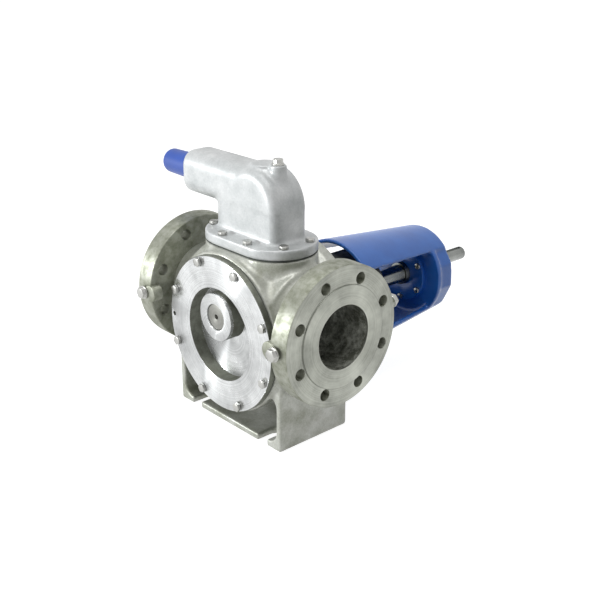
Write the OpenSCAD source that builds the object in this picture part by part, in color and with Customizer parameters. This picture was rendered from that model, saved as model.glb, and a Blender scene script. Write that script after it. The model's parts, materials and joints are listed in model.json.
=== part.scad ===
// Internal gear pump with a relief valve on top and an open bearing bracket behind.
// X runs along the ports, +Y towards the drive end, +Z up. The origin is the centre
// of the foot, on the base plane, below the crossing of the port and shaft planes.

/* [Frame] */
// Height of the shaft axis above the base
shaft_height = 160; // [156:1:172]
// Distance between the two port faces
face_to_face = 372; // [364:1:400]

/* [Port flanges] */
// Outside diameter of a port flange
flange_d = 220; // [214:1:230]
// Thickness of the flange rim without the raised face
flange_t = 21; // [16:0.5:24]
// Distance from the flange's edge to its circle of bolt holes
flange_hole_inset = 20; // [18:1:21]
// Number of bolt holes
flange_holes = 8; // [4:4:8]
// Diameter of a bolt hole
flange_hole_d = 18; // [14:0.5:19]
// Distance from the flange's edge to its raised face
raised_face_inset = 30; // [30:1:35]
// Height of the raised face
raised_face_h = 3; // [1:0.5:4]
// Diameter of the port bore
port_bore_d = 100; // [86:1:104]
// Diameter of the neck behind the flange
neck_d = 130; // [124:1:136]
// Diameter of the neck where it leaves the casing
neck_root_d = 168; // [150:1:176]

/* [Casing] */
// Distance from the port axis to the front joint
casing_front = 77; // [72:1:86]
// Distance from the port axis to the rear face
casing_rear = 88; // [86:1:100]
// Outside diameter of the barrel
barrel_d = 236; // [228:1:240]
// Outside diameter of the rings at the two ends
ring_d = 256; // [252:1:262]
// Length of the front ring
front_ring_t = 24; // [16:1:30]
// Length of the rear ring
rear_ring_t = 20; // [14:1:26]
// Diameter of the hole in the rear wall
rear_hole_d = 90; // [86:1:96]

/* [Foot] */
// Width over the two foot walls
foot_w = 254; // [244:1:264]
// Length of the foot
foot_l = 140; // [124:1:150]
// Distance from the port plane forwards to the foot's front edge
foot_front = 73; // [66:1:76]
// Thickness of a foot wall
foot_wall = 11; // [8:0.5:14]
// Thickness of the base plate
foot_plate = 11; // [8:0.5:14]
// Height of the opening between the foot walls
foot_open_h = 74; // [66:1:80]
// Distance between the left and right bolt slots
slot_spacing = 168; // [160:1:176]
// Width of a bolt slot
slot_w = 20; // [14:1:22]
// Length of a bolt slot from the edge of the plate
slot_l = 38; // [24:1:44]

/* [Gears] */
// Module of the two gears
gear_module = 15; // [14.6:0.1:15.2]
// Teeth of the inner, driven gear
idler_teeth = 7; // [7:1:7]
// Teeth of the rotor
rotor_teeth = 11; // [11:1:11]
// Pressure angle
pressure_angle = 30; // [29:0.5:31]
// Thinning of each tooth for backlash
gear_backlash = 0.35; // [0.2:0.05:0.6]
// Height of a gear tooth outside its pitch circle
addendum = 11.25; // [10.4:0.05:11.3]
// Depth of a gear tooth inside its pitch circle
dedendum = 11.9; // [11.5:0.05:12.4]
// Width of the gear faces
face_width = 95; // [86:1:97]
// Thickness of the disc that carries the rotor's teeth
rotor_disc_t = 20; // [14:1:22]
// Diameter of the rotor's hub
rotor_hub_d = 76; // [66:1:82]
// Diameter of the idler pin
pin_d = 42; // [38:0.5:46]
// Wall of the bush inside the idler gear
idler_bush_wall = 6; // [4:0.5:7]

/* [Front cover] */
// Diameter of the front cover
cover_d = 250; // [246:1:252]
// Thickness of the cover's rim
cover_t = 10; // [8:0.5:13]
// Depth of the cover's spigot in the casing
spigot_l = 24; // [23:0.5:30]
// Diameter of the round recess in the cover
recess_d = 149; // [146:1:156]
// Depth of the recess
recess_depth = 23; // [18:0.5:25]
// Diameter of the boss that holds the idler pin
boss_d = 76; // [64:1:80]
// Height of the boss above the cover's face
boss_proud = 5; // [1:0.5:8]
// Depth of the pin's end below the boss
pin_recess = 2; // [1:0.5:4]
// Diameter of the bolt circle
cover_pcd = 232; // [230:1:236]
// Number of cover bolts
cover_bolts_n = 8; // [4:4:8]

/* [Rear cover] */
// Diameter of the rear cover's flange
rear_cover_d = 148; // [146:1:149]
// Thickness of the rear cover's flange
rear_cover_t = 14; // [10:1:16]
// Outside diameter of the drum around the stuffing box
drum_d = 140; // [136:1:142]
// Wall of the drum
drum_wall = 8; // [6:0.5:9]
// Length of the drum behind the flange
drum_l = 111; // [100:1:116]
// Diameter of the stuffing box hub
hub_d = 92; // [88:1:94]
// Length of the stuffing box hub behind the flange
hub_l = 77; // [70:1:84]
// Diameter of the bore that holds the packing
box_d = 60; // [58:0.5:62]
// Number of packing rings
packing_n = 5; // [3:1:5]
// Wall of the shaft bush
shaft_bush_wall = 6; // [4:0.5:7]
// Length of the shaft bush
shaft_bush_l = 40; // [30:1:41]
// Thickness of the gland's flange
gland_t = 11; // [8:0.5:12]
// Diameter of the circle of the rear cover's screws
rear_screw_pcd = 108; // [107:0.5:109]

/* [Shaft] */
// Diameter of the shaft in the rotor and the stuffing box
shaft_d = 40; // [38:0.5:40]
// Diameter of the neck of the shaft inside the bracket
shaft_neck_d = 32; // [28:0.5:36]
// Diameter of the shaft in the ball bearing
bearing_bore = 35; // [32:0.5:35]
// Diameter of the shaft's drive end
drive_d = 24; // [20:0.5:30]
// Distance from the port plane to the end of the shaft
shaft_end = 491; // [470:1:510]
// Width of the keyway in the drive end
keyway_w = 8; // [6:0.5:8]
// Depth of the keyway in the drive end
keyway_depth = 4; // [3:0.5:5]
// Length of the keyway in the drive end
keyway_l = 40; // [25:1:60]

/* [Bearing bracket] */
// Distance from the port plane to the bracket's rear face
bracket_rear = 377; // [370:1:392]
// Diameter of the bracket at the casing
bracket_front_d = 208; // [206:1:216]
// Diameter of the bracket at its rear face
bracket_rear_d = 155; // [146:1:164]
// Wall of the bracket
bracket_wall = 7; // [5:0.5:8]
// Thickness of the mounting flange at the casing
bracket_flange_t = 12; // [9:0.5:14]
// Length of the solid ring around the bearing
bracket_ring_l = 43; // [42:0.5:50]
// Distance from the port plane to the end of the top opening
top_open_end = 157; // [150:1:164]
// Distance from the port plane to the start of the side windows
window_start = 173; // [168:1:200]
// Upper and lower angle of the side windows from the horizontal
window_angle = 41; // [34:1:44]
// Length of the flats on the outside of the ring
flat_l = 33; // [20:1:36]
// Number of flats around the ring
flat_n = 12; // [12:1:12]

/* [Ball bearing] */
// Outside diameter of the bearing
bearing_d = 80; // [78:1:80]
// Width of the bearing
bearing_w = 34.9; // [30:0.1:35]
// Diameter of a ball
ball_d = 11; // [9:0.5:11.5]
// Number of balls in a row
ball_n = 12; // [8:1:12]
// Diameter of the two bearing covers
bearing_cover_d = 100; // [98:1:104]

/* [Relief valve] */
// Height of the valve's mounting face above the base
valve_seat_z = 289; // [289:1:296]
// Length of the valve's mounting flange
valve_flange_l = 203; // [200:1:214]
// Width of the valve's mounting flange
valve_flange_w = 123; // [121:1:128]
// Thickness of the valve's mounting flange
valve_flange_t = 16; // [12:0.5:18]
// Distance from the port axis to the column's round left end
column_left = 84.5; // [80:0.5:88]
// Distance from the port axis to the column's flat right end
column_right = 71; // [69:1:76]
// Radius of the column's right-hand edges
column_edge = 14; // [8:1:14]
// Outer radius of the elbow
elbow_r = 60; // [56:1:62]
// Height of the arm's axis above the base
arm_z = 378; // [376:1:384]
// Height and width of the arm
arm_w = 69; // [66:1:71]
// Radius of the arm's long corners
arm_corner = 23; // [18:1:27]
// Distance from the port axis to the arm's end
arm_end = 152; // [150:1:160]
// Diameter of the spring chamber in the arm
spring_bore_d = 40; // [39:0.5:42]
// Diameter of the hole in the valve seat
seat_bore_d = 30; // [26:0.5:31]
// Distance from the port axis to a valve passage
passage_x = 46; // [44:0.5:48]
// Diameter of a valve passage
passage_d = 36; // [32:1:38]
// Diameter of the blue cap
cap_d = 43; // [41:0.5:45]
// Length of the blue cap
cap_l = 80; // [74:1:82]
// Diameter of the boss on top of the elbow
top_boss_d = 26; // [24:1:30]
// Height of the top of that boss above the base
top_boss_z = 420; // [416:1:424]
// Distance from the port axis to that boss
top_boss_x = 42; // [38:1:46]
// Diameter of the flat pad beside the boss
top_pad_d = 44; // [36:1:50]
// Top of that pad above the base
top_pad_z = 418; // [414:1:419]
// Width over flats of the plug in that boss
top_plug_af = 14; // [12:1:17]
// Mean diameter of the valve spring
spring_mean_d = 30; // [28:0.5:32]
// Thickness of the spring's wire
spring_wire = 4.6; // [3.5:0.1:5]
// Number of the spring's turns
spring_turns = 8; // [5:1:10]
// Diameter of the adjusting screw
adjuster_d = 16; // [12:1:18]

/* [Gauge plugs] */
// Diameter of a gauge boss on the port flange
gauge_boss_d = 28; // [24:1:30]
// Width over flats of a gauge plug
plug_af = 17; // [13:1:19]
// Angle of the rear gauge boss above the horizontal
rear_gauge_angle = 12; // [6:1:12]

/* [Fits and screws] */
// Radial clearance of a running fit
run_fit = 0.05; // [0.02:0.01:0.09]
// Radial clearance of a located fit that doesn't move
seat_fit = 0.03; // [0.02:0.01:0.09]
// Clearance at the sides of the gears and between loose faces
axial_gap = 0.3; // [0.2:0.05:0.5]
// Thickness of a flat gasket
gasket_t = 1; // [0.5:0.1:2]
// Clearance around the rotor and the tips of the teeth
tip_gap = 0.4; // [0.3:0.05:0.6]
// Radial clearance of a screw in its hole
screw_gap = 0.3; // [0.2:0.05:0.5]

/* [Hidden] */
$fn = 96;
eps = 0.01;
over = 1;
hex = 6;
corner = 2 / sqrt(3);

silver = [0.78, 0.79, 0.80];
bright = [0.86, 0.87, 0.88];
iron = [0.22, 0.24, 0.23];
blue = [0.20, 0.36, 0.66];
steel = [0.60, 0.61, 0.62];
bronze = [0.66, 0.50, 0.30];
paper = [0.35, 0.35, 0.33];

// Gear geometry
idler_pitch_r = gear_module * idler_teeth / 2;
rotor_pitch_r = gear_module * rotor_teeth / 2;
idler_offset = rotor_pitch_r - idler_pitch_r;
idler_tip_r = idler_pitch_r + addendum;
idler_root_r = idler_pitch_r - dedendum;
rotor_tip_r = rotor_pitch_r - addendum + tip_gap;
rotor_r = idler_offset + idler_tip_r + 2.75;
chamber_r = rotor_r + tip_gap;
tooth_t = PI * gear_module / 2;
flank_steps = 8;
pin_z = shaft_height + idler_offset;
port_z = pin_z;

// Places along the shaft
cover_back = -casing_front - gasket_t;
cover_face = cover_back - cover_t;
chamber_front = -casing_front + spigot_l;
gear_front = chamber_front + axial_gap;
gear_back = gear_front + face_width;
disc_front = gear_back + axial_gap;
disc_back = disc_front + rotor_disc_t;
chamber_rear = disc_back + axial_gap;
rear_spigot_l = 7;
rotor_hub_l = casing_rear - rear_spigot_l - disc_back - 1;
rear_flange_front = casing_rear + gasket_t;
rear_flange_back = rear_flange_front + rear_cover_t;
drum_end = rear_flange_back + drum_l;
hub_end = rear_flange_back + hub_l;
bush_front = casing_rear - rear_spigot_l;
box_floor = bush_front + shaft_bush_l + 1;
pack_w = (box_d - shaft_d) / 2;
gland_gap = 3;
gland_face = hub_end + gland_gap;
gland_nose = box_floor + packing_n * pack_w + axial_gap;
gland_back = gland_face + gland_t;
stud_r = (shaft_d + hub_d) / 4 + 6;
bracket_flange_back = casing_rear + bracket_flange_t;
ring_front = bracket_rear - bracket_ring_l;
flat_start = bracket_rear - flat_l;
bearing_front = ring_front + 4;
bearing_back = bearing_front + bearing_w;
locknut_l = 9;
locknut_back = bearing_back + 1 + locknut_l;
cover_lid = 8;
bearing_cover_end = bracket_rear + cover_lid + 4;
bracket_bolt_r = bracket_front_d / 2 - 18;
top_open_angle = 62;

// Port and foot
port_face = face_to_face / 2;
rim_face = port_face - raised_face_h;
rim_back = rim_face - flange_t;
rim_mid = rim_face - flange_t / 2;
flange_pcd = flange_d - 2 * flange_hole_inset;
raised_face_d = flange_d - 2 * raised_face_inset;
left_hole_extra = 0.32;
foot_rear = foot_l - foot_front;
foot_mid = (foot_rear - foot_front) / 2;

// Relief valve
valve_base = valve_seat_z + gasket_t;
valve_flange_top = valve_base + valve_flange_t;
elbow_x = column_right - elbow_r;
elbow_z = arm_z + arm_w / 2 - elbow_r;
elbow_step = 0.4;
seat_t = 10;
partition_right = -4;
partition_left = partition_right - seat_t;
seat_face = partition_left - seat_t;
cone_face = seat_face - axial_gap;
cone_disc_t = 7;
spring_front = cone_face - cone_disc_t;
bonnet_t = 16;
bonnet_front = -arm_end + bonnet_t;
guide_t = 6;
guide_back = bonnet_front + 11.7;
spring_back = guide_back + guide_t;
spring_l = spring_front - spring_back;
cap_spigot_d = 32;
cap_spigot_l = 11;
cap_spigot_end = -arm_end - cap_spigot_l;
adjuster_end = -arm_end - 35;
cap_start = -arm_end - axial_gap;
cap_end = cap_start - cap_l;
cap_wall = (cap_d - cap_spigot_d) / 2 - run_fit;
valve_screw_inset = 10.5;

// Screws: shank diameter, width over flats, head height
m6 = [6, 10, 4];
m8 = [8, 13, 5.3];
m10 = [10, 16, 6.4];

// Straight round bar along X or Y
module bar_x(d, x0, x1) { translate([x0, 0, 0]) rotate([0, 90, 0]) cylinder(d = d, h = x1 - x0); }
module bar_y(d, y0, y1) { translate([0, y0, 0]) rotate([-90, 0, 0]) cylinder(d = d, h = y1 - y0); }

// Tube along X or Y
module tube_x(outer, inner, x0, x1) {
    difference() { bar_x(outer, x0, x1); bar_x(inner, x0 - over, x1 + over); }
}
module tube_y(outer, inner, y0, y1) {
    difference() { bar_y(outer, y0, y1); bar_y(inner, y0 - over, y1 + over); }
}

// Body turned about Y or X from a profile of radius and place along the axis
module turned_y(points) { rotate([-90, 0, 0]) rotate_extrude() polygon(points); }
module turned_x(points) { rotate([0, 90, 0]) rotate_extrude() polygon(points); }

// Part of a ring about Y between two angles counted from +X towards +Z
module sector_y(r0, r1, y0, y1, a0, a1) {
    translate([0, y1, 0]) rotate([90, 0, 0]) rotate([0, 0, a0])
        rotate_extrude(angle = a1 - a0) translate([r0, 0]) square([r1 - r0, y1 - y0]);
}

// Copies around a circle about Y, the angle counted from +X towards +Z
module around_y(n, r, first = 0) {
    for (k = [0 : n - 1]) rotate([0, -first - k * 360 / n, 0]) translate([r, 0, 0]) children();
}

// Everything on the shaft axis, the idler axis or the arm axis
module on_shaft() { translate([0, 0, shaft_height]) children(); }
module on_pin() { translate([0, 0, pin_z]) children(); }
module on_arm() { translate([0, 0, arm_z]) children(); }

// Hexagon screw along Y: the head's underside at y, the shank runs towards +Y or -Y
module screw_y(size, y, length, way) {
    translate([0, y, 0]) rotate([-90 * way, 0, 0]) {
        translate([0, 0, -size[2]]) cylinder(d = size[1] * corner, h = size[2], $fn = hex);
        cylinder(d = size[0] - 2 * seat_fit, h = length, $fn = 32);
    }
}
module screw_z(size, z, length) {
    translate([0, 0, z]) {
        cylinder(d = size[1] * corner, h = size[2], $fn = hex);
        translate([0, 0, -length]) cylinder(d = size[0] - 2 * seat_fit, h = length + eps, $fn = 32);
    }
}

// Flat outline with two round ends
module stadium(l, w) {
    square([l - w, w], center = true);
    for (s = [-1, 1]) translate([s * (l - w) / 2, 0]) circle(d = w);
}

// Square outline with four round corners
module rounded_square(w, r) {
    square([w - 2 * r, w], center = true);
    square([w, w - 2 * r], center = true);
    for (x = [-1, 1], y = [-1, 1]) translate([x, y] * (w / 2 - r)) circle(r = r);
}

// Involute flank: half the angle of a tooth at radius r
function involute(a) = tan(a) - a * PI / 180;
function half_angle(r, pitch_r, t) = let (a = acos(min(1, pitch_r * cos(pressure_angle) / r)))
    t / (2 * pitch_r) * 180 / PI + (involute(pressure_angle) - involute(a)) * 180 / PI;
function polar(r, a) = [r * cos(a), r * sin(a)];
function flank(pitch_r, lo, tip, t, side) = [for (k = [0 : flank_steps])
    let (r = lo + (tip - lo) * (side < 0 ? k : flank_steps - k) / flank_steps)
    [r, side * half_angle(r, pitch_r, t)]];
function tooth(pitch_r, root, tip, t) =
    let (lo = max(root, pitch_r * cos(pressure_angle)), foot_angle = half_angle(lo, pitch_r, t))
    concat([[root, -foot_angle]], flank(pitch_r, lo, tip, t, -1),
        flank(pitch_r, lo, tip, t, 1), [[root, foot_angle]]);
module gear_outline(teeth, pitch_r, root, tip, t) {
    one = tooth(pitch_r, root, tip, t);
    polygon([for (k = [0 : teeth - 1], p = one) polar(p[0], 90 + k * 360 / teeth + p[1])]);
}

// Port flange, its neck and its raised face, along +X from the casing
module port_outside() {
    translate([0, 0, port_z]) {
        flare = neck_root_d / 2 - neck_d / 2;
        flare_l = 46;
        x1 = rim_back - 10;
        turned_x(concat(
            [[0, 0], [neck_root_d / 2, 0]],
            [for (k = [0 : 12]) let (a = k * 90 / 12)
                [neck_root_d / 2 - flare * sin(a), x1 - flare_l + flare_l * (1 - cos(a))]],
            [for (k = [0 : 6]) let (a = k * 90 / 6)
                [neck_d / 2 + 10 * (1 - cos(a)), rim_back - 10 + 10 * sin(a)]],
            [[flange_d / 2 - 1, rim_back], [flange_d / 2, rim_back + 1],
                [flange_d / 2, rim_face - 1], [flange_d / 2 - 1, rim_face],
                [raised_face_d / 2, rim_face], [raised_face_d / 2, port_face], [0, port_face]]));
    }
}

// Holes of one port flange
module port_holes(hole_d) {
    translate([0, 0, port_z]) {
        for (k = [0 : flange_holes - 1]) rotate([(k + 0.5) * 360 / flange_holes, 0, 0])
            translate([0, flange_pcd / 2, 0]) bar_x(hole_d, rim_back - 12, rim_face + over);
        bar_x(port_bore_d, 0, port_face + over);
    }
}

// Gauge boss on the edge of a flange, pointing along its own -Y
gauge_boss_end = flange_d / 2 + 3;
gauge_hole_l = 22;
module gauge_place(x, angle) { translate([x, 0, port_z]) rotate([angle, 0, 0]) children(); }
module gauge_bosses() both_sides() {
    gauge_place(rim_back, 0) bar_y(gauge_boss_d, -gauge_boss_end, -neck_d / 2 + 12);
    gauge_place(rim_mid, 180 + rear_gauge_angle) bar_y(flange_t, -gauge_boss_end, 5 - flange_d / 2);
}
module gauge_hole() { bar_y(10, -gauge_boss_end - over, -gauge_boss_end + gauge_hole_l); }
module gauge_plug() {
    translate([0, -gauge_boss_end, 0]) rotate([-90, 0, 0]) {
        translate([0, 0, -9]) cylinder(d = plug_af * corner, h = 6, $fn = hex);
        translate([0, 0, -3]) cylinder(d = plug_af + 5, h = 3);
        cylinder(d = 10 - 2 * seat_fit, h = 16);
    }
}
module both_sides() {
    children();
    mirror([1, 0, 0]) children();
}
module both_gauges() both_sides() {
    gauge_place(rim_back, 0) children();
    gauge_place(rim_mid, 180 + rear_gauge_angle) children();
}

// Foot: a plate with four slots and two walls that run up into the casing
module foot() {
    wall_top = port_z - neck_d / 2 + 12;
    in_w = foot_w / 2 - foot_wall;
    low_r = 20;
    high_r = 14;
    difference() {
        translate([-foot_w / 2, -foot_front, 0]) cube([foot_w, foot_l, wall_top]);
        translate([0, foot_rear + over, 0]) rotate([90, 0, 0])
            linear_extrude(foot_l + 2 * over) foot_opening(in_w, low_r, high_r);
        for (x = [-1, 1]) {
            translate([x * slot_spacing / 2, 0, 0]) {
                foot_slot(-foot_front, 1);
                foot_slot(foot_rear, -1);
            }
        }
    }
}
module foot_slot(y, way) {
    translate([0, y + way * (slot_l - slot_w / 2), -over]) cylinder(d = slot_w, h = foot_plate + 2 * over);
    translate([-slot_w / 2, way > 0 ? y - over : y - slot_l + slot_w / 2, -over])
        cube([slot_w, slot_l - slot_w / 2 + over, foot_plate + 2 * over]);
}
module foot_opening(in_w, low_r, high_r) {
    top = foot_plate + foot_open_h;
    translate([-in_w, foot_plate + low_r]) square([2 * in_w, foot_open_h - low_r - high_r]);
    translate([-in_w + low_r, foot_plate]) square([2 * (in_w - low_r), low_r + over]);
    translate([-in_w + high_r, top - high_r - over]) square([2 * (in_w - high_r), high_r + over]);
    for (x = [-1, 1]) {
        translate([x * (in_w - low_r), foot_plate + low_r]) circle(r = low_r);
        translate([x * (in_w - high_r), top - high_r]) circle(r = high_r);
    }
}

// Casing: barrel, two port necks, foot and the pad under the relief valve
module casing() color(silver) difference() {
    union() {
        on_shaft() {
            turned_y([[0, -casing_front], [ring_d / 2 - 1, -casing_front],
                [ring_d / 2, -casing_front + 1], [ring_d / 2, -casing_front + front_ring_t],
                [barrel_d / 2, -casing_front + front_ring_t + 12],
                [barrel_d / 2, casing_rear - rear_ring_t - 12],
                [ring_d / 2, casing_rear - rear_ring_t], [ring_d / 2, casing_rear - 1],
                [ring_d / 2 - 1, casing_rear], [0, casing_rear]]);
        }
        both_sides() port_outside();
        foot();
        translate([0, 0, port_z]) linear_extrude(valve_seat_z - port_z)
            stadium(valve_flange_l, valve_flange_w);
        gauge_bosses();
    }
    on_shaft() {
        bar_y(ring_d + 2, -casing_front - 30, -casing_front);
        bar_y(2 * chamber_r, -casing_front - over, chamber_rear);
        bar_y(rear_hole_d, chamber_rear - over, casing_rear + over);
        around_y(cover_bolts_n, cover_pcd / 2, 180 / cover_bolts_n)
            bar_y(m8[0], -casing_front - over, -casing_front + 18);
        around_y(6, rear_screw_pcd / 2, 30) bar_y(m8[0], casing_rear - 18, casing_rear + over);
        bracket_bolt_places() bar_y(m10[0], casing_rear - 20, casing_rear + over);
    }
    port_holes(flange_hole_d);
    mirror([1, 0, 0]) port_holes(flange_hole_d + left_hole_extra);
    translate([0, 0, valve_seat_z]) linear_extrude(ring_d / 2)
        stadium(valve_flange_l + 4, valve_flange_w + 4);
    for (x = [-1, 1]) translate([x * passage_x, 0, port_z])
        cylinder(d = passage_d, h = valve_seat_z - port_z + over);
    valve_screw_places() translate([0, 0, valve_seat_z - 20]) cylinder(d = m8[0], h = 30, $fn = 32);
    both_gauges() gauge_hole();
}

// Front cover with its recess, the pin's boss and the crescent behind it
module front_cover() color(bright) difference() {
    union() {
        on_shaft() difference() {
            turned_y([[0, cover_face], [cover_d / 2 - 1.5, cover_face],
                [cover_d / 2, cover_face + 1.5], [cover_d / 2, cover_back],
                [chamber_r - seat_fit, cover_back], [chamber_r - seat_fit, chamber_front],
                [0, chamber_front]]);
            bar_y(recess_d, cover_face - over, cover_face + recess_depth);
        }
        on_pin() bar_y(boss_d, cover_face - boss_proud, chamber_front - over);
        crescent();
    }
    on_pin() bar_y(pin_d, cover_face - boss_proud - over, gear_back + over);
    on_shaft() around_y(cover_bolts_n, cover_pcd / 2, 180 / cover_bolts_n)
        bar_y(m8[0] + 2 * screw_gap, cover_face - over, cover_back + over);
    on_shaft() around_y(2, cover_pcd / 2) bar_y(6.8, cover_face - over, cover_back + over);
}
module crescent() {
    difference() {
        on_shaft() bar_y(2 * (rotor_tip_r - tip_gap), chamber_front - over, gear_back);
        on_pin() bar_y(2 * (idler_tip_r + tip_gap), chamber_front - 2 * over, gear_back + over);
        translate([-chamber_r, -casing_front, shaft_height + 4])
            cube([2 * chamber_r, face_width + casing_front + over, chamber_r]);
    }
}
module cover_gasket() color(paper) on_shaft() difference() {
    tube_y(cover_d - 1, 2 * chamber_r + 1, -casing_front - gasket_t, -casing_front);
    around_y(cover_bolts_n, cover_pcd / 2, 180 / cover_bolts_n)
        bar_y(m8[0] + 2 * screw_gap, -casing_front - gasket_t - over, -casing_front + over);
}
module cover_bolts() color(steel) on_shaft()
    around_y(cover_bolts_n, cover_pcd / 2, 180 / cover_bolts_n)
        screw_y(m8, cover_face, cover_t + gasket_t + 16, 1);

// Idler pin, fixed in the cover, with the bush and the gear that turn on it
pin_front = cover_face - boss_proud + pin_recess;
pin_back = gear_back - 1;
module idler_pin() color(steel) on_pin() difference() {
    turned_y([[0, pin_front], [pin_d / 2 - 1 - seat_fit, pin_front],
        [pin_d / 2 - seat_fit, pin_front + 1], [pin_d / 2 - seat_fit, pin_back - 1],
        [pin_d / 2 - 1 - seat_fit, pin_back], [0, pin_back]]);
    bar_y(8, pin_front - over, pin_front + 12);
}
bush_inner_d = pin_d + 2 * (run_fit - seat_fit);
bush_outer_d = pin_d + 2 * idler_bush_wall;
module idler_bush() color(bronze) on_pin() tube_y(bush_outer_d, bush_inner_d, gear_front, gear_back);
module idler_gear() color(steel) on_pin() difference() {
    translate([0, gear_back, 0]) rotate([90, 0, 0]) linear_extrude(face_width)
        gear_outline(idler_teeth, idler_pitch_r, idler_root_r, idler_tip_r, tooth_t - gear_backlash);
    bar_y(bush_outer_d + 2 * seat_fit, gear_front - over, gear_back + over);
}

// Rotor: a disc with teeth that reach forwards around the idler
module rotor() color(steel) on_shaft() difference() {
    union() {
        bar_y(2 * rotor_r, gear_front, disc_back);
        bar_y(rotor_hub_d, disc_back - over, disc_back + rotor_hub_l);
    }
    bar_y(2 * rotor_tip_r, gear_front - over, disc_front);
    translate([0, disc_front, 0]) rotate([90, 0, 0]) linear_extrude(disc_front - gear_front + over)
        gear_outline(rotor_teeth, rotor_pitch_r, rotor_tip_r - over, rotor_r + 4, tooth_t + gear_backlash);
    bar_y(shaft_d + 2 * seat_fit, disc_front - over, disc_back + rotor_hub_l + over);
    translate([0, disc_back + rotor_hub_l, 0]) key_slot(key_w + 2 * seat_fit,
        shaft_d / 2 + key_over + seat_fit, rotor_hub_l + rotor_disc_t + over);
}
key_w = 12;
key_over = 3;
key_under = 5;
key_l = 28;
key_start = disc_front + 2;
module key_slot(w, top, l) { translate([-w / 2, -l, 0]) cube([w, l + over, top]); }
module rotor_key() color(steel) on_shaft() translate([-key_w / 2, key_start, shaft_d / 2 - key_under])
    cube([key_w, key_l, key_under + key_over]);

// Shaft with its collars, the seat of the bearing and the open keyway of the drive end
neck_front = hub_end + 52;
neck_back = ring_front - 16;
collar_front = bearing_front - 7;
collar_d = bearing_bore + 9;
drive_shoulder_d = drive_d + 3;
drive_start = bearing_cover_end + 2;
module shaft() color(steel) on_shaft() difference() {
    turned_y([[0, disc_front + 1], [shaft_d / 2 - 1, disc_front + 1], [shaft_d / 2, disc_front + 2],
        [shaft_d / 2, neck_front], [shaft_neck_d / 2, neck_front + 4],
        [shaft_neck_d / 2, neck_back], [shaft_d / 2, neck_back], [shaft_d / 2, collar_front],
        [collar_d / 2, collar_front], [collar_d / 2, bearing_front], [bearing_bore / 2, bearing_front],
        [bearing_bore / 2, locknut_back + 1], [drive_shoulder_d / 2, locknut_back + 1],
        [drive_shoulder_d / 2, drive_start], [drive_d / 2, drive_start],
        [drive_d / 2, shaft_end - 1.5], [drive_d / 2 - 1.5, shaft_end], [0, shaft_end]]);
    translate([-key_w / 2, key_start, shaft_d / 2 - key_under])
        cube([key_w, key_l, key_under + over]);
    keyway_end = shaft_end - 5;
    translate([-keyway_w / 2, keyway_end - keyway_l, drive_d / 2 - keyway_depth])
        cube([keyway_w, keyway_l, keyway_depth + over]);
    bar_y(6, shaft_end - 10, shaft_end + over);
}

// Rear cover: a flange and a drum around the hub of the stuffing box
module rear_cover() color(iron) on_shaft() difference() {
    union() {
        bar_y(rear_hole_d - 2 * seat_fit, bush_front, rear_flange_front + over);
        bar_y(rear_cover_d, rear_flange_front, rear_flange_back);
        bar_y(drum_d, rear_flange_back - over, drum_end);
    }
    tube_y(drum_d - 2 * drum_wall, hub_d, rear_flange_back, drum_end + over);
    bar_y(drum_d - 2 * drum_wall, hub_end, drum_end + over);
    bar_y(shaft_bush_d, bush_front - over, box_floor);
    bar_y(box_d, box_floor - over, hub_end + over);
    around_y(6, rear_screw_pcd / 2, 30)
        bar_y(m8[0] + 2 * screw_gap, rear_flange_front - over, rear_flange_back + over);
    around_y(2, stud_r) bar_y(m8[0], hub_end - 16, hub_end + over);
}
shaft_bush_d = shaft_d + 2 * shaft_bush_wall;
module rear_cover_gasket() color(paper) on_shaft() difference() {
    tube_y(rear_cover_d - 1, rear_hole_d + 1, casing_rear, rear_flange_front);
    around_y(6, rear_screw_pcd / 2, 30)
        bar_y(m8[0] + 2 * screw_gap, casing_rear - over, rear_flange_front + over);
}
module rear_cover_screws() color(steel) on_shaft() around_y(6, rear_screw_pcd / 2, 30)
    screw_y(m8, rear_flange_back, rear_cover_t + gasket_t + 16, -1);
module shaft_bush() color(bronze) on_shaft()
    tube_y(shaft_bush_d - 2 * seat_fit, shaft_d + 2 * run_fit, bush_front, bush_front + shaft_bush_l);

// Packing rings, pressed together by the gland
module packing_rings() color(paper) on_shaft() for (k = [0 : packing_n - 1])
    tube_y(box_d - 2 * seat_fit, shaft_d + 2 * run_fit,
        box_floor + k * pack_w + 0.1, box_floor + (k + 1) * pack_w - 0.1);
module gland() color(steel) on_shaft() difference() {
    union() {
        bar_y(box_d - 2 * run_fit, gland_nose, gland_face + over);
        bar_y(hub_d + 6, gland_face, gland_back);
    }
    bar_y(shaft_d + 2 * axial_gap, gland_nose - over, gland_back + over);
    around_y(2, stud_r) bar_y(m8[0] + 2 * screw_gap, gland_face - over, gland_back + over);
}
module gland_studs() color(steel) on_shaft() around_y(2, stud_r)
    bar_y(m8[0] - 2 * seat_fit, hub_end - 15, gland_back + 24);
module gland_nuts() color(steel) on_shaft() around_y(2, stud_r) difference() {
    translate([0, gland_back, 0]) rotate([-90, 0, 0]) cylinder(d = m8[1] * corner, h = 6.5, $fn = hex);
    bar_y(m8[0] + 2 * run_fit, gland_back - over, gland_back + 8);
}

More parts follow.
